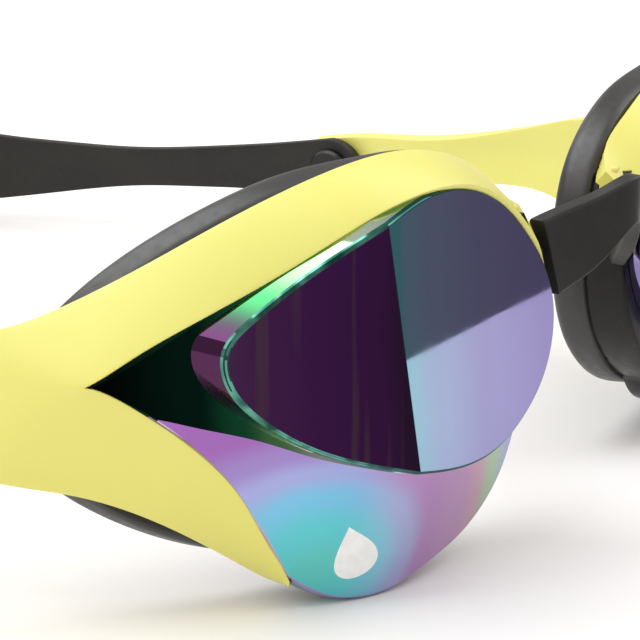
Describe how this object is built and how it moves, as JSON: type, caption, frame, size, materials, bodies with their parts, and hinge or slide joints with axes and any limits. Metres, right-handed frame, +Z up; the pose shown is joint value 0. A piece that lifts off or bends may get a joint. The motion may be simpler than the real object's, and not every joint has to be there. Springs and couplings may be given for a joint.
{
  "type": "swim goggles",
  "caption": "Racing swim goggles: mirrored wraparound lenses in bright frames with side arms, soft face gaskets, a swappable nose bridge and a split strap with a rear clip.",
  "frame": {"origin": "on the ground under the middle of the goggles' outer box", "axes": "+X to the wearer's left, +Y from the lenses back to the strap, +Z up; the lenses look along -Y"},
  "size_m": [0.1472, 0.178, 0.0482],
  "materials": {
    "lens": "mirror-coated polycarbonate, violet to teal",
    "frame": "satin lime yellow",
    "carrier": "black",
    "gasket": "soft satin black",
    "bridge": "satin black",
    "strap": "black silicone",
    "button": "black",
    "clip": "black"
  },
  "bodies": {
    "eyepieces": {"left_lens": "lens", "right_lens": "lens", "left_frame": "frame", "right_frame": "frame", "left_lens_carrier": "carrier", "right_lens_carrier": "carrier", "left_gasket": "gasket", "right_gasket": "gasket", "left_strap_button": "button", "right_strap_button": "button"},
    "bridge": {"nose_bridge": "bridge"},
    "strap_loop": {"left_strap": "strap", "right_strap": "strap"},
    "clip": {"rear_clip": "clip"}
  },
  "joints": [
    {"name": "bridge_release", "type": "slide", "parent": "eyepieces", "child": "bridge", "axis": [0, -1, 0], "range_m": [0, 0.008]},
    {"name": "strap_swing", "type": "hinge", "parent": "eyepieces", "child": "strap_loop", "pos_m": [0, 0.00025, 0.0154], "axis": [1, 0, 0], "range_deg": [0, 50]},
    {"name": "clip_slide", "type": "slide", "parent": "strap_loop", "child": "clip", "axis": [1, 0, 0], "range_m": [-0.01, 0.01]}
  ]
}
